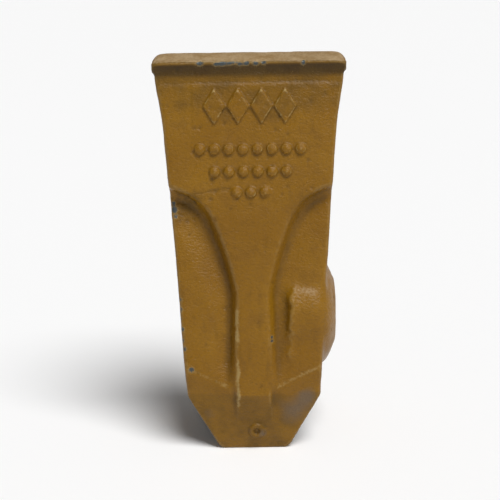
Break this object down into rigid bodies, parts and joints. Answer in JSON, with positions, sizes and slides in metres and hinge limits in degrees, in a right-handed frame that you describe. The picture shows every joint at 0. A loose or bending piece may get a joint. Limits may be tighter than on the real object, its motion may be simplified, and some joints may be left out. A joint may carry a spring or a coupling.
{
  "type": "excavator bucket tooth",
  "caption": "Wedge-shaped cast bucket tooth with a beaded blunt tip, fluted faces, a pin boss on one side, rear tongues and a nose socket, held by a laminated steel and rubber pin.",
  "frame": {"origin": "on the axis of the retaining pin, in the middle of the socket", "axes": "+Z along the tooth to its tip, +X along the pin to the boss side, and the marked broad face looks along -Y"},
  "size_m": [0.1188, 0.0914, 0.2442],
  "materials": {
    "tooth_paint": "ochre paint over a rough steel casting",
    "pin_steel": "oiled dark steel",
    "pin_rubber": "matt moulded rubber"
  },
  "bodies": {
    "tooth": {"tooth_point": "tooth_paint"},
    "pin": {"pin_bar_rear": "pin_steel", "pin_rubber_core": "pin_rubber"},
    "pin_front": {"pin_bar_front": "pin_steel"}
  },
  "joints": [
    {"name": "pin_slide", "type": "slide", "parent": "tooth", "child": "pin", "axis": [1, 0, 0], "range_m": [0, 0.11]},
    {"name": "pin_squeeze", "type": "slide", "parent": "pin", "child": "pin_front", "axis": [0, 0, -1], "range_m": [0, 0.002], "stiffness_N_per_m": 20000, "deforming": ["pin_rubber_core"]}
  ]
}
